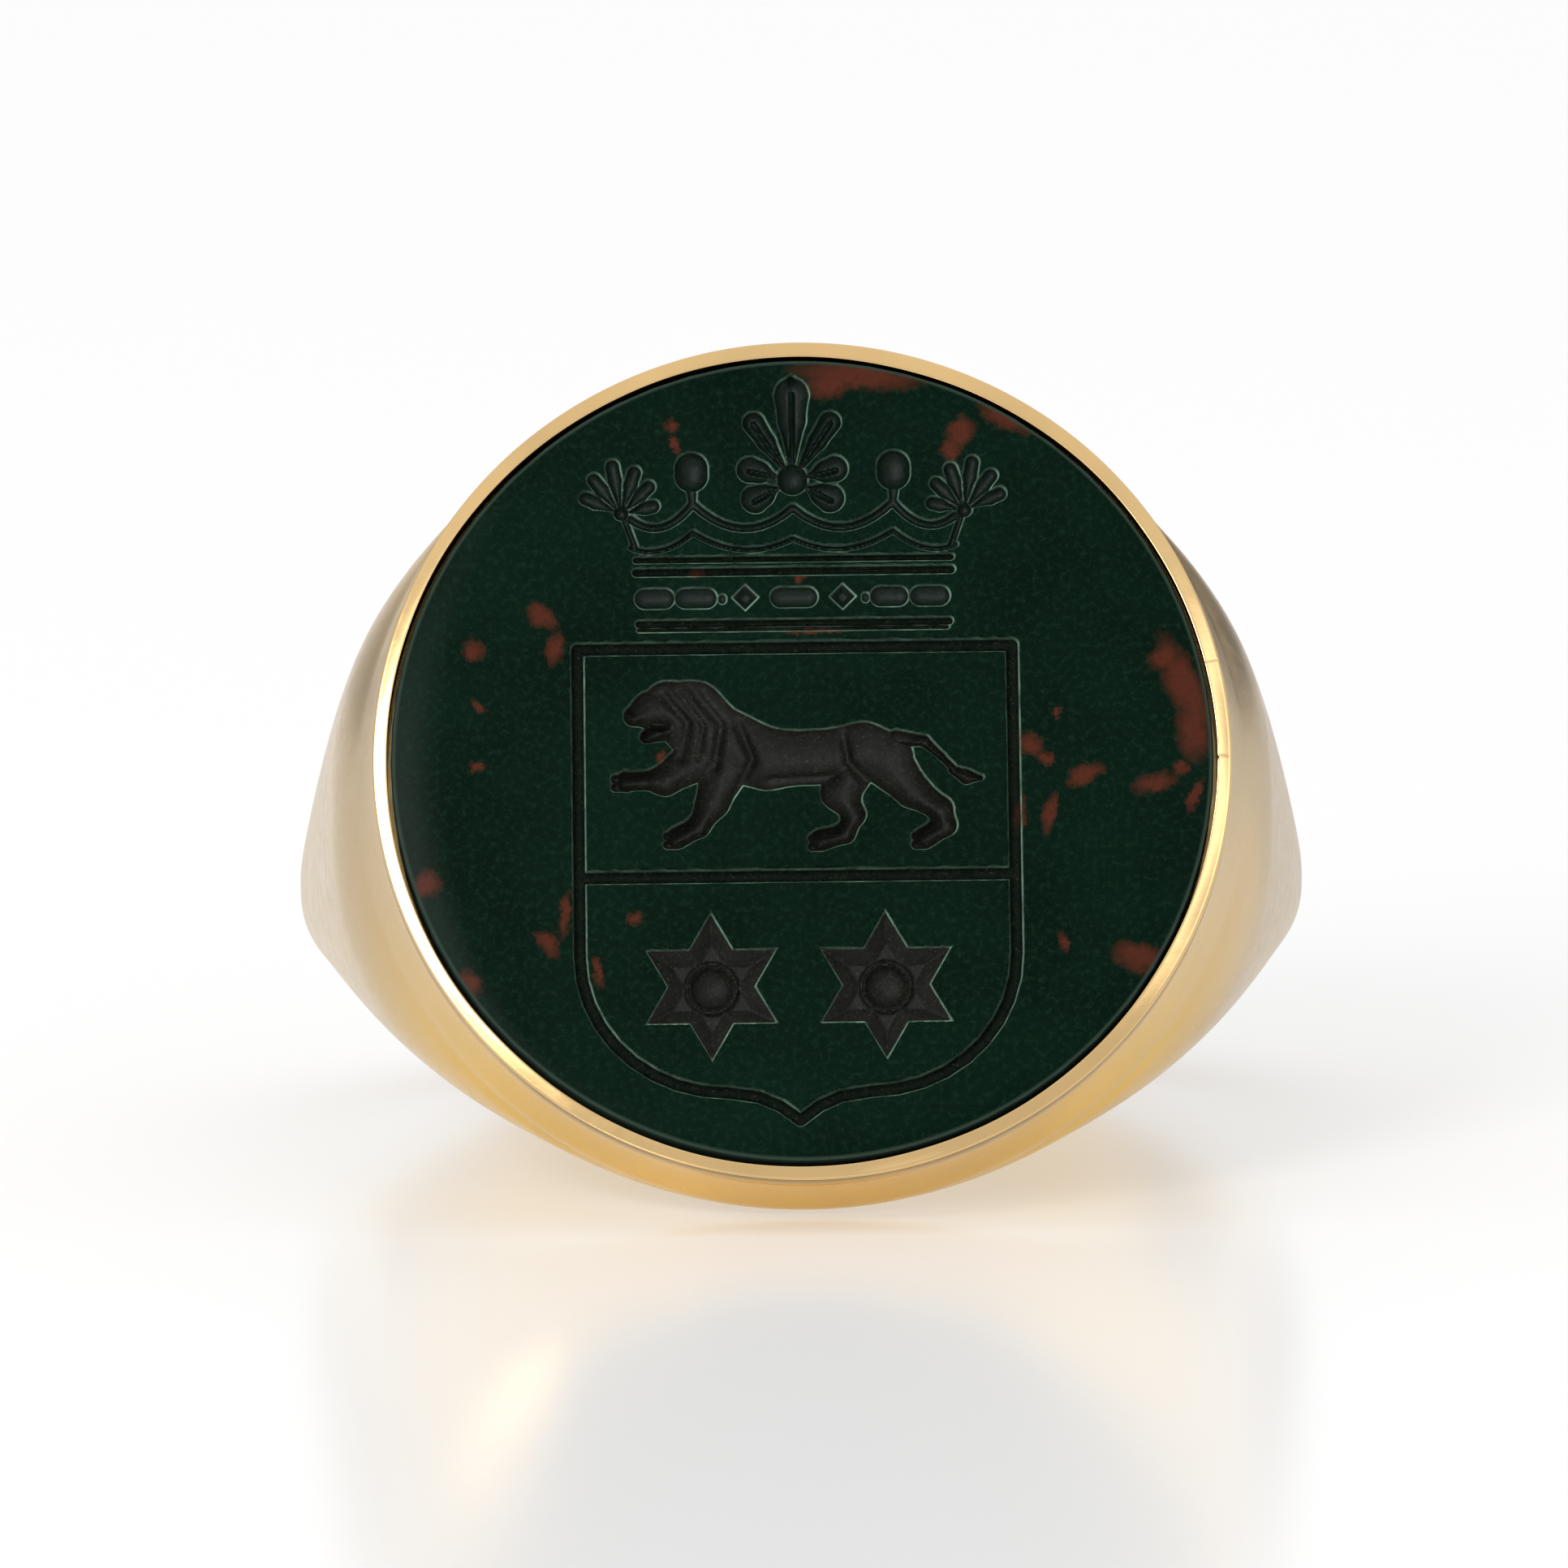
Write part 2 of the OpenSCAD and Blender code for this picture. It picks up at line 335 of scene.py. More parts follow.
def make_shank(material):
    solid = Solid()
    turn = np.radians(np.linspace(90, -90, HOOP_STEPS + 1))
    radius = SIDE_R + (BACK_R - SIDE_R) * (1 - np.abs(np.sin(turn)))

    # its width goes on tapering from the head's sides without a break
    slope = ((FOOT_V - SIDE_V) * SPREAD_V + 4 * BULGE_V) / BORE_R
    taper = slope * SIDE_R / (SIDE_V - BACK_V)
    half = BACK_V + (SIDE_V - BACK_V) * (1 - np.clip(np.cos(turn), 0, 1)) ** taper
    heading = np.stack([np.sin(turn), 0 * turn, -np.cos(turn)], axis=-1)
    heading[0, 2] = heading[-1, 2] = 0
    edge_v = half * (1 - (BORE_R / radius) ** DOME) ** (1 / DOME)
    corner = BORE_R * heading + edge_v[:, None] * np.array([0, 1, 0])

    # where the rounding starts on the outer side: one edge size up the dome
    lean = (BORE_R / radius) ** (DOME - 1) * half / radius / (edge_v / half) ** (DOME - 1)
    out = EDGE / np.sqrt(1 + lean ** 2)
    start_r = BORE_R + out
    start_v = half * (1 - (start_r / radius) ** DOME) ** (1 / DOME)
    t_edge = np.arctan2((start_v / half) ** (DOME / 2), (start_r / radius) ** (DOME / 2))
    t = t_edge * np.linspace(1, -1, ACROSS)[:, None]
    out_r = radius * np.cos(t) ** (2 / DOME)
    out_v = half * signed_power(np.sin(t), 2 / DOME)
    outer = out_r[..., None] * heading + out_v[..., None] * np.array([0, 1, 0])
    solid.add_grid(outer)
    edge_strips(solid, outer[0], corner)
    strip = rounding(outer[0], corner, corner - np.array([0, EDGE, 0]), ROUND_ROWS)
    for end in (0, -1):
        solid.add_polygon(section_loop(outer[:, end], strip[:, end]))
    return place(solid.build("shank_gold"), "shank", material)


# ---- Collar: a burnished strip, with a soldered seam and a nick ----
LIP_R = STONE_R + 0.085    # inner edge of the strip's top, a fine gap away from the stone
STRIP_R = RIM_R - 0.012    # the strip stands back a hair from the head
STRIP_TOP = RIM_H - 0.004
BEVEL = 0.06           # width of the bevel along the strip's outer edge
BELOW_BEVEL = 1.3      # how far down the outer wall starts, in widths of the bevel
CROWN = 0.05           # how much lower the strip's top is beside the bevel
CROWN_CURVE = 1.15     # 1 would make the strip's top a plain cone
LIP_ROUND = 0.015      # width of the rounding along the strip's inner edge
UNDERCUT = 0.1         # height of each of the two steps back to the pocket's wall
SEAM_AT = math.radians(13)
SEAM_WIDTH = math.radians(0.09)
SEAM_DEPTH = 0.006
NICK_AT = math.radians(-0.5)
NICK_WIDTH = math.radians(0.2)
NICK_DEPTH = 0.025
ROUND_STEPS = 900      # columns round the strip, besides the fine ones at the seam and the nick
FINE_STEPS = np.radians([-0.5, -0.3, -0.18, -0.1, -0.05, 0, 0.05, 0.1, 0.18, 0.3, 0.5])

# slow waves round the strip, as (count, phase, height)
LIP_WAVES = [(1, 3.7, 0.026), (3, 0.4, 0.008), (7, 2.0, 0.007), (17, 1.1, 0.003)]
TOP_WAVES = [(4, 0.9, 0.002), (11, 2.2, 0.002)]
CROWN_WAVES = [(2, 2.6, 0.01), (5, 1.9, 0.006), (13, 0.2, 0.004)]


def ripple(angle, waves):
    """Sum of the waves at each angle round the strip."""
    return sum(height * np.sin(count * angle + phase) for count, phase, height in waves)


def collar_profile(angle):
    """The strip's closed cross-section, as (radius, height) at each angle."""
    inner = LIP_R + ripple(angle, LIP_WAVES) + NICK_DEPTH * dent(angle, NICK_AT, NICK_WIDTH)
    top = STRIP_TOP + ripple(angle, TOP_WAVES)
    crown = CROWN + ripple(angle, CROWN_WAVES)
    seam = SEAM_DEPTH * dent(angle, SEAM_AT, SEAM_WIDTH)
    flat = 0 * angle
    profile = [(POCKET_R + flat, HEAD_TOP + flat), (STRIP_R + flat, HEAD_TOP + flat),
               (STRIP_R + flat, top - crown - BELOW_BEVEL * BEVEL)]
    for turn in np.radians(np.linspace(20, 70, 5)):
        profile.append((STRIP_R - BEVEL * (1 - math.cos(turn)) - seam * math.sin(turn),
                        top - crown - BEVEL * (1 - math.sin(turn))))
    width = STRIP_R - BEVEL - inner - LIP_ROUND
    for share in np.linspace(0, 1, 9):
        depth = crown * (1 - share) ** CROWN_CURVE
        profile.append((STRIP_R - BEVEL - width * share, top - depth - seam))
    profile += [(inner + 0.004, top - 0.002), (inner, top - 0.006),
                (inner + 0.2 * (POCKET_R - inner), top - UNDERCUT),
                (POCKET_R + flat, top - 2 * UNDERCUT)]
    return profile + profile[:1]


def make_collar(material, gap_shade, outer_material):
    steps = np.linspace(-math.pi, math.pi, ROUND_STEPS, endpoint=False)
    angle = np.sort(np.concatenate([steps, SEAM_AT + FINE_STEPS, NICK_AT + FINE_STEPS]))
    rows = np.array([np.stack([r * np.cos(angle), r * np.sin(angle), n * np.ones_like(angle)],
                              axis=-1) for r, n in collar_profile(angle)])
    solid = Solid()
    solid.add_grid(rows, closed=True)
    collar = place(solid.build("rim_collar"), "bezel_collar", material)

    # its wall towards the stone takes painted shade, and its outer wall is one with the head's,
    # painted shade included
    collar.data.materials.append(gap_shade)
    collar.data.materials.append(outer_material)
    middles = np.array([face.center for face in collar.data.polygons]) @ RING_AXES.T / MM
    facing_up = np.array([face.normal for face in collar.data.polygons]) @ seal_axis
    radius = np.hypot(middles[:, 0], middles[:, 1])
    inside = (radius < LIP_R + 0.05) & (facing_up < 0.5) & (middles[:, 2] < RIM_H - LIP_ROUND)
    outside = (radius > STRIP_R - 0.01) & (facing_up < 0.3)
    collar.data.polygons.foreach_set("material_index", inside + 2 * outside)
    return collar


# ---- Engraving: a depth map made of soft strokes, in millimetres on the stone's face ----
CREST_U = -0.13        # the arms sit a little off the stone's centre
SHIELD_W = 9.1
SHIELD_TOP = 2.4
SHIELD_BAR = -2.5
SHIELD_LOW = -4.2      # where its sides start to turn in
SHIELD_CHIN = -7.1     # where they have turned in, at CHIN_U from the middle
SHIELD_TIP = -7.7
CHIN_U = 1.5
LINE_R = 0.15          # half-width of the shield's lines
LINE_DEPTH = 0.22
STAR_R = 1.6
STAR_U = 1.82
STAR_V = -4.85
BOSS_R = 0.46          # the round hollow in the middle of each star
JEWEL_V = 3.47         # height of the row of jewels in the coronet's band
BALL_U = 2.12          # place of the balls on the coronet
FAN_U = 3.6            # and of the fans at its ends
FAN_V = 5.33

# how matt each part of the engraving is
CHARGE_FINISH = 1.0
LINE_FINISH = 0.7
CORONET_FINISH = 0.35


class Carving:
    """Depth, signed distance to the nearest carved edge, and finish (1 matt, 0 polished)."""

    def __init__(self, points):
        self.p = points - np.array([CREST_U, 0])
        self.depth = np.zeros(len(points))
        self.gap = np.full(len(points), 99.0)
        self.matt = np.zeros(len(points))
        self.finish = CHARGE_FINISH

    def cut(self, gap, depth):
        self.matt = np.where(gap < self.gap, self.finish, self.matt)
        self.gap = np.minimum(self.gap, gap)
        self.depth = np.maximum(self.depth, depth)

    def stroke(self, dots, depth, blend=0.0, power=1.8, ribs=()):
        """Carves a chain of round dots [u, v, radius], each joined to the next."""
        gap, radius = self.reach(dots, blend)
        share = np.clip(1 + gap / radius, 0, 1)
        hollow = (1 - share ** power) ** (1 / power)
        for rib, height, width in ribs:
            rib_gap, _ = self.reach(rib, 0)
            hollow = hollow * (1 - height * np.exp(-(np.clip(rib_gap, 0, None) / width) ** 2))
        self.cut(gap, np.where(gap < 0, np.clip(depth * hollow, 0.01, 1), 0))

    def reach(self, dots, blend):
        """Signed distance to a chain of dots, and the chain's radius there."""
        gap, radius = None, None
        for (u0, v0, r0), (u1, v1, r1) in zip(dots[:-1], dots[1:]):
            run = np.array([u1 - u0, v1 - v0])
            away = self.p - np.array([u0, v0])
            part = np.clip(away @ run / max(run @ run, 1e-9), 0, 1)
            width = r0 + (r1 - r0) * part
            edge = np.linalg.norm(away - part[:, None] * run, axis=1) - width
            if gap is None:
                gap, radius = edge, width
                continue
            mix = np.clip(0.5 + 0.5 * (edge - gap) / max(blend, 1e-6), 0, 1)
            radius = width + (radius - width) * mix
            gap = smooth_min(gap, edge, blend) if blend else np.minimum(gap, edge)
        return gap, radius


def fan(centre, lean, dots):
    """Dots drawn straight up from a centre, turned clockwise by an angle."""
    c, s = math.cos(math.radians(lean)), math.sin(math.radians(lean))
    return [(centre[0] + u * c + v * s, centre[1] - u * s + v * c, r) for u, v, r in dots]


def mirrored(dots, side):
    return [(side * u, v, r) for u, v, r in dots]


def shield_outline():
    """Right half of the shield, from the top middle to the tip, then the left half back."""
    half = SHIELD_W / 2
    drop = SHIELD_CHIN - SHIELD_LOW
    turn = np.radians(np.linspace(0, 90, 10))
    right = [(0, SHIELD_TOP), (half, SHIELD_TOP)]
    right += [(CHIN_U + (half - CHIN_U) * math.cos(a), SHIELD_LOW + drop * math.sin(a))
              for a in turn]
    right += [(0.85, -7.2), (0.4, -7.4), (0, SHIELD_TIP)]
    return right + [(-u, v) for u, v in right[-2::-1]]


def carve_shield(carving):
    """The shield's outline and the bar across it, both as flat-bottomed lines."""
    half = SHIELD_W / 2
    bar = [(-half, SHIELD_BAR), (half, SHIELD_BAR)]
    carving.finish = LINE_FINISH
    for line in (shield_outline(), bar):
        carving.stroke([(u, v, LINE_R) for u, v in line], LINE_DEPTH, power=2.4)
    carving.finish = CHARGE_FINISH


def carve_star(carving, side):
    """Six points with a ridge along each, and a round boss sunk in the middle."""
    p = carving.p - np.array([side * STAR_U, STAR_V])
    walls = []
    for first in (90, 30):
        normals = [(math.cos(math.radians(first + 60 + 120 * i)),
                    math.sin(math.radians(first + 60 + 120 * i))) for i in range(3)]
        walls.append(np.min([STAR_R / 2 - p @ np.array(normal) for normal in normals], axis=0))
    inside = np.maximum(*walls)
    facets = np.where(inside > 0, 0.07 + np.clip(inside * 0.8, 0, 0.27), 0)
    carving.cut(-inside, facets)
    away = np.linalg.norm(p, axis=1)
    boss = 0.22 + 0.34 * np.sqrt(np.clip(1 - (away / BOSS_R) ** 2, 0, 1))
    rim = -0.1 * dent(away, BOSS_R + 0.06, 0.05)
    carving.depth = np.where(away < BOSS_R, boss, carving.depth + rim * (away < STAR_R / 2))


LION = [
    # body and hind quarters
    [(-1.5, 0.3, 0.82), (-0.6, 0.0, 0.66), (0.4, 0.02, 0.58), (1.4, 0.12, 0.64),
     (1.9, 0.0, 0.58)],
    # mane, head and jaw
    [(-1.7, 0.4, 0.8), (-2.2, 0.95, 0.76), (-2.66, 1.16, 0.56)],
    [(-2.66, 1.14, 0.56), (-3.05, 1.08, 0.4), (-3.38, 0.96, 0.24)],
    [(-2.75, 0.72, 0.36), (-3.12, 0.52, 0.17)],
    # forelegs: one raised, one standing
    [(-2.1, 0.0, 0.5), (-2.75, -0.42, 0.34), (-3.2, -0.42, 0.2), (-3.55, -0.44, 0.25)],
    [(-1.5, -0.2, 0.56), (-1.75, -0.9, 0.36), (-2.05, -1.42, 0.24), (-2.5, -1.66, 0.26)],
    # hind legs
    [(1.2, -0.2, 0.5), (0.92, -0.72, 0.42), (1.2, -1.2, 0.24), (1.0, -1.6, 0.22),
     (0.5, -1.74, 0.26)],
    [(1.9, -0.1, 0.58), (2.42, -0.7, 0.38), (3.0, -1.1, 0.27), (3.1, -1.45, 0.24),
     (2.66, -1.72, 0.26)],
    # tail and its tuft
    [(2.1, 0.42, 0.2), (2.68, 0.36, 0.14), (3.05, 0.02, 0.1), (3.35, -0.3, 0.1)],
    [(3.28, -0.27, 0.12), (3.56, -0.42, 0.18), (3.86, -0.44, 0.08)],
]
LION_RIBS = [
    # (line, share of the depth it takes away, width)
    ([(-2.2, 1.6, 0), (-1.55, 0.8, 0), (-1.7, -0.1, 0)], 0.38, 0.1),
    ([(-2.75, 1.45, 0), (-2.25, 0.85, 0), (-2.4, 0.1, 0)], 0.36, 0.1),
    ([(-2.45, 1.5, 0), (-1.92, 0.8, 0), (-2.05, 0.1, 0)], 0.2, 0.07),
    ([(-1.2, 0.8, 0), (-0.9, 0.05, 0), (-1.3, -0.8, 0)], 0.5, 0.1),
    ([(1.0, 0.55, 0), (1.1, -0.05, 0), (1.6, -0.6, 0)], 0.45, 0.1),
    ([(-0.5, -0.4, 0), (0.1, -0.38, 0), (0.8, -0.34, 0)], 0.3, 0.08),
    ([(-2.98, 0.78, 0), (-2.7, 0.8, 0)], 0.6, 0.06),
]


def carve_lion(carving):
    """A walking lion with one forepaw raised."""
    for dots in LION:
        stout = dots[0][2] > 0.3
        carving.stroke(dots, 0.42 if stout else 0.28, blend=0.12 if stout else 0.04,
                       power=1.6, ribs=LION_RIBS)
    for paw in [(-3.6, -0.46), (-2.52, -1.7), (0.5, -1.78), (2.66, -1.76)]:
        for toe in (-0.1, 0.08):
            carving.stroke([(paw[0] - 0.18, paw[1] + toe, 0.12), (paw[0], paw[1] + toe, 0.12)],
                           0.24)


def carve_band(carving):
    """The coronet's band: a double line, a row of jewels and a broad line."""
    carving.finish = LINE_FINISH
    for v, width in ((4.31, 0.09), (4.04, 0.11)):
        carving.stroke([(-3.3, v, width), (3.3, v, width)], 0.17)
    carving.stroke([(-3.25, 2.93, 0.1), (3.25, 2.93, 0.1)], 0.18)
    carving.stroke([(-3.25, 2.8, 0.07), (3.2, 2.8, 0.07)], 0.12)
    carving.finish = CORONET_FINISH
    for u, half in ((-2.92, 0.2), (-2.05, 0.22), (0, 0.28), (2.0, 0.18), (2.85, 0.2)):
        carving.stroke([(u - half, JEWEL_V, 0.24), (u + half, JEWEL_V, 0.24)], 0.2)
    for side in (-1, 1):
        # a lozenge, and a dot beside it
        away = np.abs(carving.p - np.array([side * 1.02, JEWEL_V])).sum(axis=1)
        carving.cut((away - 0.3) * 0.7, np.clip(0.3 - away, 0, 0.2) * 0.8)
        carving.stroke([(side * 1.5, 3.42, 0.1), (side * 1.5, JEWEL_V, 0.1)], 0.12)


def festoon(first, last, sag, width):
    """A hanging curve between two points (u, v)."""
    s = np.linspace(0, 1, 11)
    line = first[1] + (last[1] - first[1]) * s - sag * 4 * s * (1 - s)
    return [(first[0] + (last[0] - first[0]) * x, y, width) for x, y in zip(s, line)]


def carve_points(carving):
    """The coronet's points: a middle leaf, a ball on either side and a fan at each end."""
    middle = (0, 6.02)
    petals = [(0, 2.3, 0.38), (33, 1.78, 0.26), (-33, 1.78, 0.26), (76, 1.28, 0.31),
              (-76, 1.28, 0.31), (118, 1.28, 0.33), (-118, 1.28, 0.33)]
    for lean, length, width in petals:
        dots = [(0, 0.4, 0.1), (0, length * 0.55, width * 0.82), (0, length - width * 1.2, width)]
        if lean == 0:
            dots.append((0, length - 0.12, 0.1))
        vein = fan(middle, lean, [(0, 0.4, 0), (0, length - width * 1.1, 0)])
        carving.stroke(fan(middle, lean, dots), 0.3, blend=0.06, ribs=[(vein, 0.4, 0.05)])
    carving.stroke([(0, 6.0, 0.34), (0, 6.04, 0.34)], 0.36)
    for side in (-1, 1):
        carving.stroke(mirrored([(BALL_U, 6.12, 0.37), (BALL_U, 6.28, 0.37)], side), 0.34)
        carving.stroke(mirrored([(BALL_U, 5.8, 0.13), (2.1, 5.5, 0.1)], side), 0.18)
        bead = (side * FAN_U, FAN_V)
        for lean in (-66, -38, -10, 18, 46, 78):
            length = 1.2 - 0.004 * abs(lean + 10)
            dots = [(0, 0.2, 0.06), (0, length * 0.6, 0.17), (0, length - 0.17, 0.17)]
            carving.stroke(fan(bead, -side * lean, dots), 0.22, blend=0.03)
        carving.stroke([(bead[0], bead[1], 0.18), (bead[0], bead[1] + 0.02, 0.18)], 0.28)
        inner, outer = side * 0.02, side * 3.4
        for width, high, middle_high, low in ((0.11, 5.52, 5.4, 0.48), (0.08, 4.9, 4.74, 0.3)):
            carving.stroke(festoon((side * 2.1, high), (inner, middle_high), low, width), 0.2)
            carving.stroke(festoon((side * 2.1, high), (outer, high - 0.32), low * 0.7, width),
                           0.2)
        carving.stroke(mirrored([(3.52, 5.16, 0.09), (3.3, 4.55, 0.09)], side), 0.18)


def carve(points):
    """Depth of the engraving, distance to its nearest edge and how matt it is."""
    carving = Carving(points)
    carve_shield(carving)
    carve_lion(carving)
    for side in (-1, 1):
        carve_star(carving, side)
    carve_band(carving)
    carve_points(carving)
    return carving.depth, carving.gap, carving.matt


# ---- Stone: a disc whose face is fine only where it is engraved ----
COARSE = 16            # cells across the face before any is split
SPLITS = 5             # how often a cell may be split in four
FINE = COARSE * 2 ** SPLITS
CHAMFER = 0.1          # at the stone's edge
FACE_R = STONE_R - CHAMFER
LIT_SIDE = np.array([0.75, -0.66])  # painted highlight: the lower right, where the edges of each cut face the key light and are painted paler
SHADED_SIDE_LIP = 0.3       # how strong the painted highlight is on edges away from the lower right, against those towards it
GAP_LIMIT = 0.3        # distances to a carved edge beyond this aren't told apart


def disc(grid):
    """Maps whole-number grid points, 0 to FINE both ways, onto the round face."""
    s, t = (2 * grid[..., k] / FINE - 1 for k in (0, 1))
    return FACE_R * np.stack([s * np.sqrt(1 - t ** 2 / 2), t * np.sqrt(1 - s ** 2 / 2)], -1)


def split_cells():
    """Cells as (column, row, size), small along carved edges and large on the bare face."""
    size = 2 ** SPLITS
    first = np.arange(COARSE) * size
    cells = np.array([(i, j) for j in first for i in first])
    done = []
    while True:
        _, gap, _ = carve(disc(cells + size / 2))
        reach = 1.5 * FACE_R * size / FINE
        near_edge = np.abs(gap) < reach + 0.04
        carved = (gap < 0) & (size > 1)
        again = (near_edge | carved) & (size > 1)
        done.append(np.column_stack([cells[~again], np.full((~again).sum(), size)]))
        if size == 1 or not again.any():
            break
        size //= 2
        cells = np.concatenate([cells[again] + step for step in
                                ((0, 0), (size, 0), (0, size), (size, size))])
    return np.concatenate(done)


def cell_polygons(cells):
    """One polygon for each cell, with every corner of its smaller neighbours on its sides."""
    corners = np.concatenate([cells[:, :2] + cells[:, 2:] * np.array(step)
                              for step in ((0, 0), (1, 0), (0, 1), (1, 1))])
    corners = np.unique(corners, axis=0)
    number = {tuple(c): k for k, c in enumerate(corners.tolist())}
    polygons = []
    for i, j, size in cells.tolist():
        ring = [(i + k, j) for k in range(size)]
        ring += [(i + size, j + k) for k in range(size)]
        ring += [(i + size - k, j + size) for k in range(size)]
        ring += [(i, j + size - k) for k in range(size)]
        polygons.append([number[c] for c in ring if c in number])
    border = [(k, 0) for k in range(FINE)] + [(FINE, k) for k in range(FINE)]
    border += [(FINE - k, FINE) for k in range(FINE)] + [(0, FINE - k) for k in range(FINE)]
    return corners, polygons, [number[c] for c in border if c in number]


def make_stone(face_material, cut_material):
    corners, polygons, border = cell_polygons(split_cells())
    face = disc(corners)
    depth, gap, matt = carve(face)

    # painted highlight: the edges of each cut towards the lower right are made paler, as if lit
    step = 0.02
    toward_light = (carve(face + step * LIT_SIDE)[1] - gap) / step
    lit_lip = SHADED_SIDE_LIP + (1 - SHADED_SIDE_LIP) * np.clip(0.5 + toward_light, 0, 1)
    points = [np.column_stack([face, STONE_TOP - depth])]
    rim = face[border] / FACE_R
    count = len(corners)
    previous = border
    rings = [(STONE_R - CHAMFER * 0.3, STONE_TOP - CHAMFER * 0.3),
             (STONE_R, STONE_TOP - CHAMFER), (STONE_R, STONE_BASE + CHAMFER),
             (STONE_R - CHAMFER, STONE_BASE)]
    for radius, height in rings:
        points.append(np.column_stack([rim * radius, np.full(len(rim), height)]))
        ring = list(range(count, count + len(rim)))
        count += len(rim)
        for k in range(len(ring)):
            nxt = (k + 1) % len(ring)
            polygons.append([previous[k], ring[k], ring[nxt], previous[nxt]])
        previous = ring
    polygons.append(previous[::-1])
    mesh = bpy.data.meshes.new("engraved_stone")
    mesh.from_pydata(to_row(np.concatenate(points)).tolist(), [], polygons)
    extra = count - len(corners)
    for name, values, rest in (("gap", np.clip(gap, -GAP_LIMIT, GAP_LIMIT), GAP_LIMIT),
                               ("matt", matt, 0), ("lit_lip", lit_lip, 0)):
        layer = mesh.attributes.new(name, "FLOAT", "POINT")
        values = np.append(values, np.full(extra, rest))
        layer.data.foreach_set("value", values.astype(np.float32))

    # all that is carved takes the cut finish, except the lines
    inside = np.zeros(len(polygons), int)
    for number, polygon in enumerate(polygons):
        if max(polygon) < len(corners) and gap[polygon].mean() < 0:
            inside[number] = abs(matt[polygon].mean() - LINE_FINISH) > 0.05
    stone = place(finish_mesh("engraved_stone", mesh, crease=30), "seal_stone",
                  face_material)
    mesh.materials.append(cut_material)
    mesh.polygons.foreach_set("material_index", inside)
    return stone


# ---- Materials ----
GOLD_ROUGHNESS = 0.24
GOLD_WEAR = 0.04       # how much fine wear changes that
RIM_ROUGHNESS = 0.13
RIM_WEAR = 0.03
# painted sheen: the shoulders are painted paler towards the sides, standing in for the whitish
# reflection of gold at grazing angles
SHEEN_FROM = 6.3     # the shoulders turn paler between these two, in millimetres from
SHEEN_TO = 9.3       # the ring's middle plane
JOINT_AT = RIM_H - 0.1     # height of the joint between the head and its collar
PAINTED_SHADE_DEPTH = 0.5      # how far down below it the metal is painted darker, as painted shade
FACE_SHINE = 0.03      # specular level of the stone's face
CUT_SHINE = 0.18       # and of its engraving


class Nodes:
    """A node tree with a few short ways to add and link nodes."""

    def __init__(self, tree):
        self.tree = tree

    def node(self, kind, settings=None, **links):
        made = self.tree.nodes.new(kind)
        for key, value in (settings or {}).items():
            if key in made.inputs.keys():
                made.inputs[key].default_value = value
            else:
                setattr(made, key, value)
        for key, source in links.items():
            self.link(source, made.inputs[key.replace("_", " ")])
        return made

    def link(self, source, target):
        output = source if isinstance(source, bpy.types.NodeSocket) else source.outputs[0]
        self.tree.links.new(output, target)

    def feed(self, value, socket):
        """Links a node or an output to a socket, or sets the socket to a constant."""
        if isinstance(value, (bpy.types.Node, bpy.types.NodeSocket)):
            self.link(value, socket)
        else:
            socket.default_value = value

    def noise(self, vector, scale, detail=4, roughness=0.55):
        return self.node("ShaderNodeTexNoise", {"Scale": scale, "Detail": detail,
                                                "Roughness": roughness}, Vector=vector)

    def remap(self, value, low, high, to_low=0.0, to_high=1.0):
        return self.node("ShaderNodeMapRange", {"From Min": low, "From Max": high,
                                                "To Min": to_low, "To Max": to_high},
                         Value=value)

    def mix(self, factor, first, second):
        """A colour between two; each is a colour or a node."""
        made = self.node("ShaderNodeMix", {"data_type": "RGBA"})
        self.link(factor, made.inputs[0])
        for value, socket in ((first, made.inputs[6]), (second, made.inputs[7])):
            self.feed((*value, 1) if isinstance(value, tuple) else value, socket)
        return made.outputs[2]

    def math(self, operation, first, second):
        made = self.node("ShaderNodeMath", {"operation": operation})
        self.feed(first, made.inputs[0])
        self.feed(second, made.inputs[1])
        return made.outputs[0]

    def vector(self, operation, first, second=(0, 0, 0)):
        """A vector operation on an output and a constant; gives a number where it makes one."""
        made = self.node("ShaderNodeVectorMath", {"operation": operation})
        self.link(first, made.inputs[0])
        made.inputs[1].default_value = tuple(second)
        return made.outputs["Value" if operation in ("DOT_PRODUCT", "LENGTH") else "Vector"]

    def flat_length(self, vector):
        """Length of a vector without its third part."""
        return self.vector("LENGTH", self.vector("MULTIPLY", vector, (1, 1, 0)))

    def bump(self, height, strength, distance):
        return self.node("ShaderNodeBump", {"Strength": strength, "Distance": distance},
                         Height=height)


class Shader(Nodes):
    """The node tree of a new material."""

    def __init__(self, name):
        self.material = bpy.data.materials.new(name)
        self.material.use_nodes = True
        super().__init__(self.material.node_tree)
        self.body = self.tree.nodes["Principled BSDF"]

    def set(self, name, value):
        """Sets one of the body's inputs, or feeds it from a node."""
        self.feed(value, self.body.inputs[name])

    def object_point(self):
        return self.node("ShaderNodeTexCoord").outputs["Object"]


def linear(red, green, blue):
    """A colour given as it looks on screen, 0 to 255, as linear light."""
    def one(c):
        c /= 255
        return c / 12.92 if c <= 0.04045 else ((c + 0.055) / 1.055) ** 2.4
    return one(red), one(green), one(blue)


def dimmed(colour, share):
    return tuple(share * channel for channel in colour)


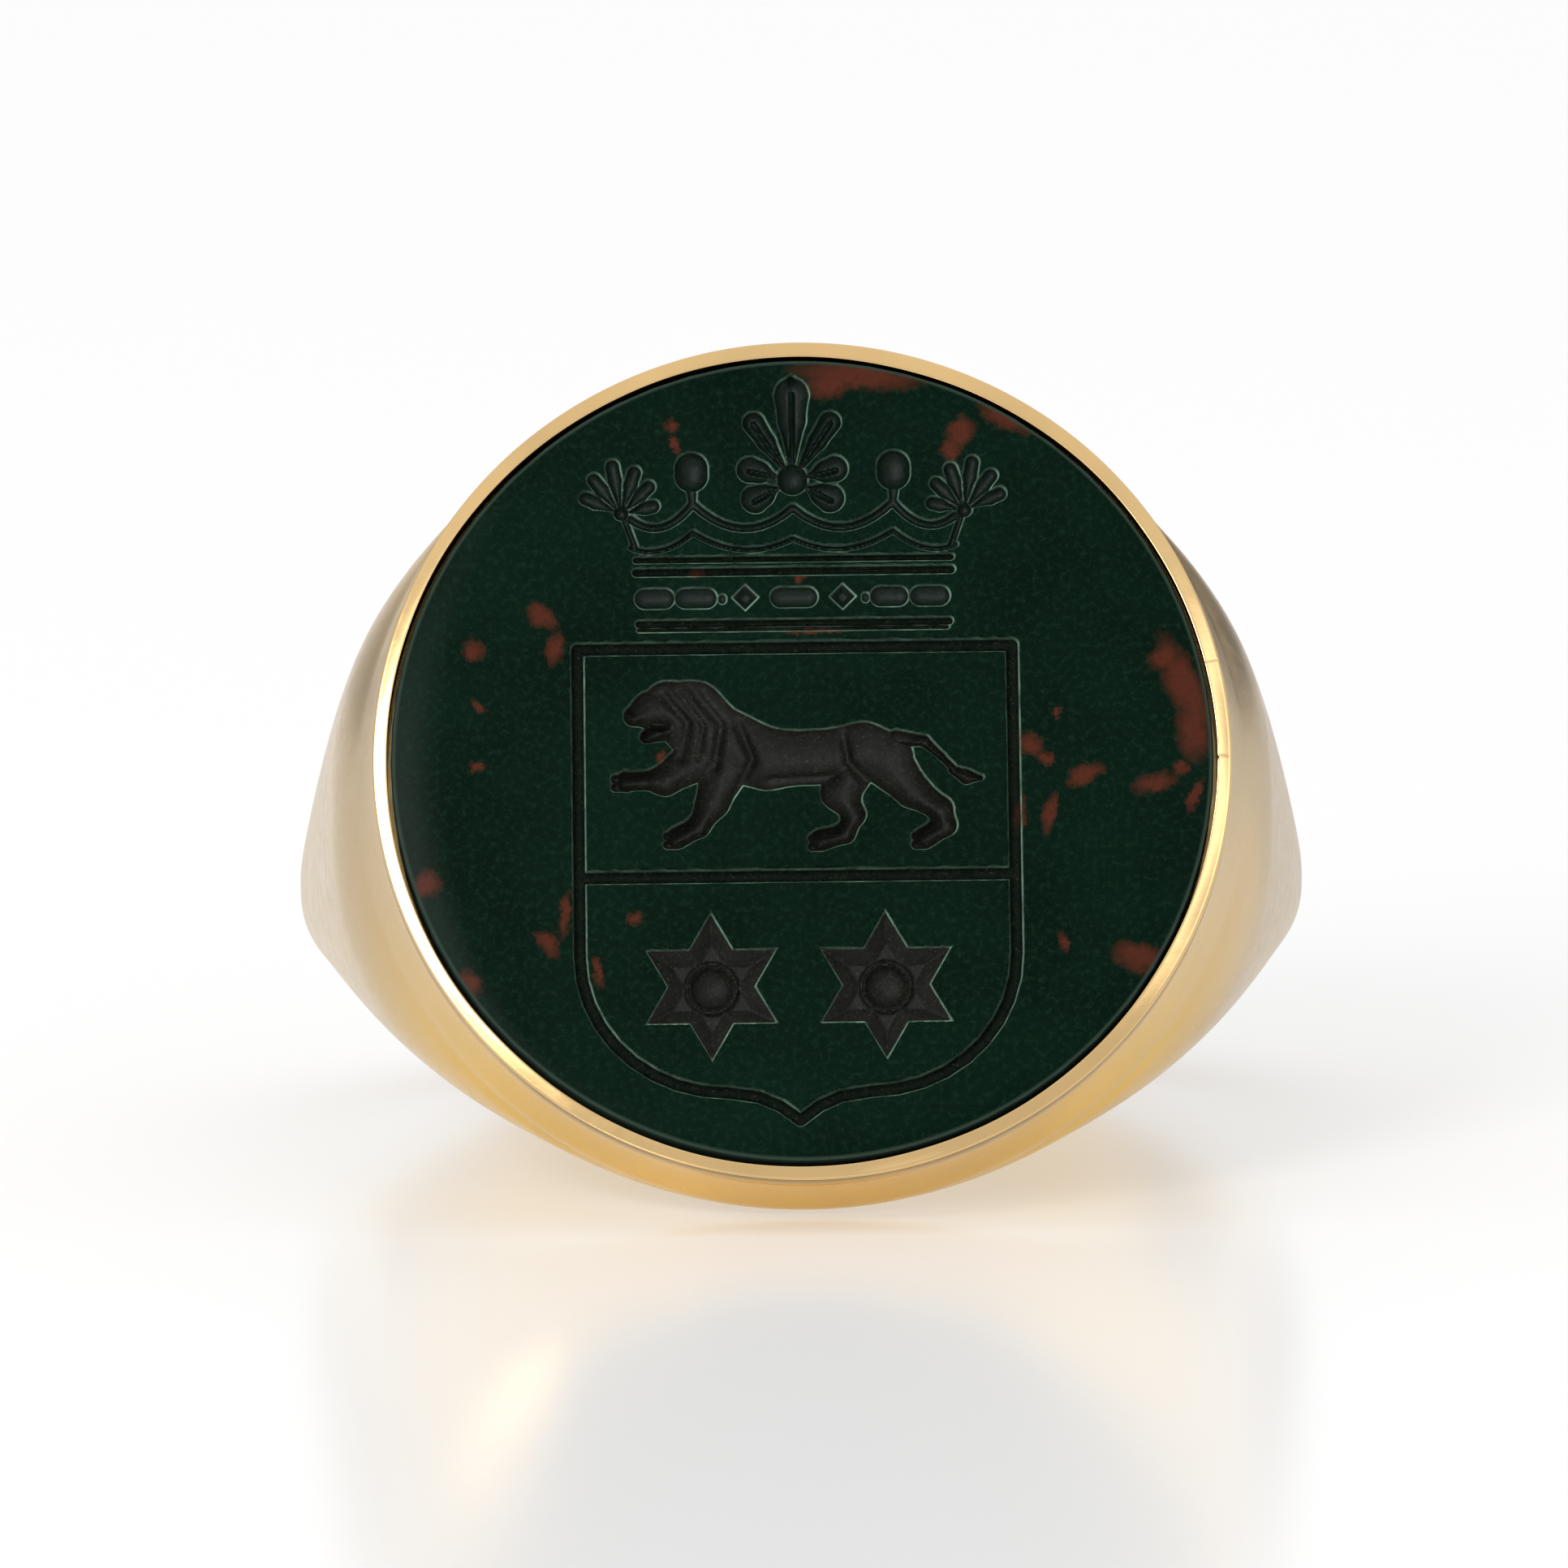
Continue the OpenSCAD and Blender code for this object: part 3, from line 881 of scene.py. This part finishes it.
def gold_material(name, colour, sheen_colour, roughness, wear, joint=None):
    """Hand-polished gold: shoulders painted paler as a painted sheen, fine scratches and a soft
    unevenness, and where a joint's height is given, painted shade: metal painted darker towards
    it."""
    shader = Shader(name)
    where = shader.object_point()
    drift = shader.noise(where, 260, 3)
    fine = shader.noise(where, 2600, 5, 0.6)
    stretched = shader.node("ShaderNodeMapping", {"Scale": (900, 5200, 5200)}, Vector=where)
    scratches = shader.noise(stretched, 1.0, 6, 0.7)
    across = shader.node("ShaderNodeSeparateXYZ", Vector=where).outputs["X"]
    away = shader.math("ABSOLUTE", across, 0)
    # painted sheen: the colour turns paler on the shoulders
    shoulder = shader.remap(away, SHEEN_FROM * MM, SHEEN_TO * MM)
    tone = shader.mix(shader.remap(drift, 0.35, 0.65), colour, dimmed(colour, 0.88))
    tone = shader.mix(shoulder, tone, sheen_colour)
    # painted shade: the metal is painted darker towards the collar, the collar's outer wall
    # included, standing in for the dark reflection beside it
    if joint is not None:
        height = shader.vector("DOT_PRODUCT", where, seal_axis)
        painted_shade = shader.remap(height, (joint - PAINTED_SHADE_DEPTH) * MM, joint * MM)
        painted_shade = shader.math("MULTIPLY", painted_shade, shader.remap(drift, 0.25, 0.6, 0.6, 1.0))
        tone = shader.mix(painted_shade, tone, dimmed(colour, 0.2))
    shader.set("Base Color", tone)
    shader.set("Metallic", 1.0)
    rough = shader.math("ADD", shader.remap(fine, 0.3, 0.7, roughness - wear, roughness + wear),
                        shader.remap(scratches, 0.55, 0.75, 0.0, wear))
    shader.set("Roughness", rough)
    waves = shader.bump(drift, 0.12, 0.0002)
    lines = shader.bump(scratches, 0.05, 0.00002)
    shader.link(waves, lines.inputs["Normal"])
    shader.set("Normal", lines)
    return shader.material


FLECKS = [
    # (u, v, half-length, half-width, turn in degrees), in millimetres on the stone's face
    (1.3, 8.25, 1.1, 0.26, -4), (0.7, 8.05, 0.4, 0.22, 10), (4.36, 7.3, 0.5, 0.2, -28),
    (3.4, 6.95, 0.28, 0.22, 60), (3.2, 6.6, 0.16, 0.2, 0), (-2.65, 7.2, 0.14, 0.12, 0),
    (-2.6, 6.8, 0.08, 0.16, 20), (-5.4, 3.1, 0.28, 0.2, -40), (-5.15, 2.4, 0.14, 0.26, 0),
    (-6.85, 2.4, 0.2, 0.17, 20), (-6.78, 1.2, 0.12, 0.1, 0), (-6.8, -0.1, 0.13, 0.11, 0),
    (8.05, 1.4, 0.95, 0.3, -66), (8.2, 0.5, 0.55, 0.3, -82), (7.6, 2.1, 0.3, 0.2, 20),
    (4.75, 0.25, 0.2, 0.24, 60), (5.05, -0.05, 0.14, 0.12, 0), (5.3, 0.95, 0.08, 0.07, 0),
    (5.9, -0.42, 0.32, 0.16, 25), (5.15, -1.25, 0.36, 0.12, 80), (4.55, -1.2, 0.28, 0.1, 85),
    (7.35, -0.6, 0.38, 0.17, 14), (8.2, -0.9, 0.3, 0.1, 70), (7.9, -0.3, 0.14, 0.1, 30),
    (6.95, -4.35, 0.42, 0.25, -15), (-7.85, -2.6, 0.26, 0.2, 60), (-5.35, -3.9, 0.26, 0.15, -50),
    (-5.0, -3.3, 0.4, 0.1, 82), (-7.0, -4.75, 0.18, 0.26, 20), (-3.55, -3.4, 0.16, 0.09, 30),
    (-2.2, 4.0, 0.14, 0.09, 0), (0.0, 3.85, 0.1, 0.07, 0), (-2.95, 0.05, 0.1, 0.16, 0),
    (5.4, -4.0, 0.1, 0.18, 10), (-4.3, -4.5, 0.08, 0.3, 10), (0.3, 2.75, 0.5, 0.06, 0),
]


def stone_coordinates(shader):
    """Position on the stone in millimetres along the ring's own axes."""
    where = shader.object_point()
    joined = shader.node("ShaderNodeCombineXYZ")
    for axis, socket in zip(RING_AXES, joined.inputs):
        shader.link(shader.vector("DOT_PRODUCT", where, axis / MM), socket)
    return joined.outputs[0]


def fleck_mask(shader, place_mm, grain):
    """Ragged red patches: stretched discs whose edges are broken up by noise."""
    cloud = shader.noise(place_mm, 2.4, 8, 0.78).outputs["Color"]
    shake = shader.vector("SUBTRACT", cloud, (0.5, 0.5, 0.5))
    ragged = shader.vector("MULTIPLY_ADD", shake, (0.7, 0.7, 0))
    shader.link(place_mm, ragged.node.inputs[2])
    total = 0.0
    for u, v, length, width, turn in FLECKS:
        local = shader.node("ShaderNodeMapping", {"vector_type": "TEXTURE",
                                                  "Location": (u, v, 0),
                                                  "Rotation": (0, 0, math.radians(turn)),
                                                  "Scale": (length, width, 1)})
        shader.link(ragged, local.inputs["Vector"])
        mask = shader.remap(shader.flat_length(local), 1.5, 0.55)
        total = shader.math("MAXIMUM", mask, total)
    return shader.math("MULTIPLY", total, shader.remap(grain, 0.3, 0.6, 0.45, 1.0))


def bloodstone_material(name, specular):
    """Dark green stone with red flecks; the engraving is matt and its lips carry a painted
    highlight.
    """
    shader = Shader(name)
    place_mm = stone_coordinates(shader)
    gap, matt, lit_lip = (
        shader.node("ShaderNodeAttribute", {"attribute_name": layer}).outputs["Fac"]
        for layer in ("gap", "matt", "lit_lip"))
    cloud = shader.noise(place_mm, 0.35, 5, 0.6)
    grain = shader.noise(place_mm, 7, 6, 0.75)
    green = shader.mix(shader.remap(cloud, 0.35, 0.68), linear(1, 17, 8), linear(3, 25, 15))
    green = shader.mix(shader.remap(grain, 0.5, 0.85), green, linear(22, 48, 34))
    red = shader.mix(shader.remap(grain, 0.3, 0.7), linear(98, 46, 32), linear(54, 26, 17))
    flecks = fleck_mask(shader, place_mm, grain)
    face = shader.mix(flecks, green, red)
    # painted reflection: the chamfer round the stone's face is coloured pale grey-green
    chamfer_glint = shader.remap(shader.flat_length(place_mm), FACE_R - 0.02, FACE_R + 0.04)
    face = shader.mix(chamfer_glint, face, linear(46, 60, 51))

    grit = shader.noise(place_mm, 16, 4, 0.7)
    stone_cut = shader.mix(shader.remap(grain, 0.3, 0.75), linear(0, 18, 12), linear(2, 30, 22))
    matt_cut = shader.mix(shader.remap(grain, 0.3, 0.72), linear(2, 4, 2), linear(24, 25, 18))
    matt_cut = shader.mix(shader.remap(grit, 0.58, 0.72), matt_cut, linear(60, 58, 46))
    cut = shader.mix(matt, stone_cut, matt_cut)
    cut = shader.mix(shader.math("MULTIPLY", flecks, 0.4), cut, red)
    body = shader.mix(shader.remap(gap, 0.004, -0.02), face, cut)

    # painted highlight: a pale line along each cut's edge, stronger towards the lower right and
    # broken up by noise
    broken = shader.remap(shader.noise(place_mm, 2, 4, 0.7), 0.35, 0.65, 0.3, 0.95)
    lip_highlight = shader.math("MULTIPLY", shader.remap(gap, -0.035, -0.012),
                      shader.remap(gap, 0.02, 0.004))
    lip_highlight = shader.math("MULTIPLY", lip_highlight, lit_lip)
    pale = shader.mix(shader.remap(gap, 0.01, -0.015), linear(70, 102, 82),
                      linear(138, 168, 148))
    body = shader.mix(shader.math("MULTIPLY", lip_highlight, broken), body, pale)
    shader.set("Base Color", body)

    carved = shader.remap(gap, 0.0, -0.03)
    rough = shader.math("MULTIPLY_ADD", shader.math("MULTIPLY", carved, matt), 0.2)
    shader.link(shader.remap(grain, 0.2, 0.8, 0.26, 0.36), rough.node.inputs[2])
    shader.set("Roughness", rough)
    shader.set("Specular IOR Level", specular)
    tooth = shader.math("MULTIPLY", grain, carved)
    shader.set("Normal", shader.bump(tooth, 0.5, 0.00004))
    return shader.material


def gap_shade_material():
    """Painted shade in the gap round the stone: the collar's wall there is coloured dark brown,
    broken up by noise.
    """
    shader = Shader("gap_painted_shade")
    where = shader.object_point()
    dirt = shader.noise(where, 1800, 5, 0.7)
    shader.set("Base Color", shader.mix(dirt, linear(14, 9, 5), linear(52, 36, 20)))
    shader.set("Roughness", 0.8)
    shader.set("Specular IOR Level", 0.1)
    return shader.material


def cement_material():
    shader = Shader("setting_cement")
    where = shader.object_point()
    grit = shader.noise(where, 3000, 5, 0.7)
    shader.set("Base Color", shader.mix(grit, linear(150, 142, 122), linear(188, 182, 164)))
    shader.set("Roughness", 0.9)
    shader.set("Normal", shader.bump(grit, 0.6, 0.00005))
    return shader.material


DEEP_GOLD = linear(242, 199, 104)
# the second and fourth colours are painted sheen, on the shoulders and on the rim's sides
SHEEN_GOLD = linear(206, 180, 138)
RIM_GOLD = linear(230, 194, 136)
RIM_SHEEN = linear(232, 198, 142)
gold = gold_material("gold", DEEP_GOLD, SHEEN_GOLD, GOLD_ROUGHNESS, GOLD_WEAR)
head_gold = gold_material("head_gold", DEEP_GOLD, SHEEN_GOLD, GOLD_ROUGHNESS, GOLD_WEAR, JOINT_AT)
rim_gold = gold_material("rim_gold", RIM_GOLD, RIM_SHEEN, RIM_ROUGHNESS, RIM_WEAR)

make_shank(gold)
make_head(head_gold)
make_collar(rim_gold, gap_shade_material(), head_gold)
make_stone(bloodstone_material("bloodstone", FACE_SHINE),
           bloodstone_material("bloodstone_cut", CUT_SHINE))
for node_name, slot, material in (("bearer_ring", "gold", gold),
                                  ("stone_bedding", "cement", cement_material())):
    frame["nodes"][node_name].data.materials.clear()
    frame["nodes"][node_name].data.materials.append(material)

# ---- Stage: floor, lights and camera ----
FLOOR_Z = cad_box[0].z
FLOOR_REACH = 1.5      # in metres to the front and the sides, and twice that to the back
FLOOR_TONE = 0.66
FLOOR_ROUGHNESS = 0.2
FLOOR_GLOW = 0.24      # keeps the floor pale in the ring's own shade

KEY_SIDE = 0.16        # of the square key light, in metres
KEY_POWER = 1.2
KEY_AT = (-0.222, -0.437, 0.25)     # to the left, in front and above

TENT_LEVEL = 0.8
GLOWS = [
    # azimuth from the front, elevation, inner and outer angle in degrees, added brightness
    (0, 90, 20, 65, 0.2),
    (-27, 26, 9, 18, 1.6),
    (28, 29, 5, 13, 1.3),
    (156, 4, 4, 20, -0.6),
    (-135, 8, 8, 28, -0.35),
]

CAMERA_AWAY = 0.3      # from the seal's face
CAMERA_DIP = 13.0      # degrees from the seal's axis down to the camera
CAMERA_YAW = 0.19
CAMERA_ROLL = 0.73
SENSOR = 36
FIELD = 32.75 * MM     # width of the view at the seal's face
AIM_RIGHT = -0.38 * MM  # from the middle of the face to the middle of the view
AIM_UP = -0.55 * MM


def make_floor():
    mesh = bpy.data.meshes.new("floor")
    reach = FLOOR_REACH
    corners = [(-reach, -reach, FLOOR_Z), (reach, -reach, FLOOR_Z),
               (reach, 2 * reach, FLOOR_Z), (-reach, 2 * reach, FLOOR_Z)]
    mesh.from_pydata(corners, [], [(0, 1, 2, 3)])
    floor = bpy.data.objects.new("floor", mesh)
    bpy.context.scene.collection.objects.link(floor)
    shader = Shader("pale_floor")
    shader.set("Base Color", (FLOOR_TONE, FLOOR_TONE, FLOOR_TONE, 1))
    shader.set("Roughness", FLOOR_ROUGHNESS)
    shader.set("Emission Color", (1, 1, 1, 1))
    shader.set("Emission Strength", FLOOR_GLOW)
    mesh.materials.append(shader.material)


def make_key_light():
    """A soft light that faces the ring."""
    light = bpy.data.lights.new("key", "AREA")
    light.shape = "SQUARE"
    light.size = KEY_SIDE
    light.energy = KEY_POWER
    holder = bpy.data.objects.new("key", light)
    holder.location = KEY_AT
    holder.rotation_mode = "QUATERNION"
    holder.rotation_quaternion = (-Vector(KEY_AT)).to_track_quat("-Z", "Y")
    bpy.context.scene.collection.objects.link(holder)


def make_world():
    """A white tent: pale all round, brighter overhead and in two places in front, dimmer
    in two places behind."""
    world = bpy.data.worlds.new("tent")
    world.use_nodes = True
    nodes = Nodes(world.node_tree)
    view = nodes.node("ShaderNodeTexCoord").outputs["Generated"]
    total = TENT_LEVEL
    for azimuth, elevation, inner, outer, gain in GLOWS:
        turn, rise = math.radians(azimuth), math.radians(elevation)
        middle = (math.sin(turn) * math.cos(rise), -math.cos(turn) * math.cos(rise),
                  math.sin(rise))
        glow = nodes.remap(nodes.vector("DOT_PRODUCT", view, middle),
                           math.cos(math.radians(outer)), math.cos(math.radians(inner)), 0, gain)
        glow.interpolation_type = "SMOOTHSTEP"
        total = nodes.math("ADD", total, glow)
    background = world.node_tree.nodes["Background"]
    nodes.link(total, background.inputs["Strength"])
    background.inputs["Color"].default_value = (1, 1, 1, 1)
    bpy.context.scene.world = world


def make_camera():
    data = bpy.data.cameras.new("camera")
    data.sensor_width = SENSOR
    data.lens = SENSOR * CAMERA_AWAY / FIELD
    data.clip_start, data.clip_end = 0.01, 10
    camera = bpy.data.objects.new("camera", data)
    face = Vector(to_row([0, 0, RIM_H]))
    across, finger, seal = (Vector(axis) for axis in RING_AXES)
    dip, yaw = math.radians(CAMERA_DIP), math.radians(CAMERA_YAW)
    back = seal * math.cos(dip) - finger * math.sin(dip)
    back = back * math.cos(yaw) - across * math.sin(yaw)
    right = finger.cross(back).normalized()
    up = back.cross(right)
    roll = math.radians(CAMERA_ROLL)
    right, up = (right * math.cos(roll) - up * math.sin(roll),
                 up * math.cos(roll) + right * math.sin(roll))
    place_at = face + back * CAMERA_AWAY + right * AIM_RIGHT + up * AIM_UP
    camera.matrix_world = Matrix.Translation(place_at) @ \
        Matrix((right, up, back)).transposed().to_4x4()
    bpy.context.scene.collection.objects.link(camera)
    bpy.context.scene.camera = camera


make_floor()
make_world()
make_key_light()
make_camera()
bpy.context.scene.view_settings.view_transform = "Standard"
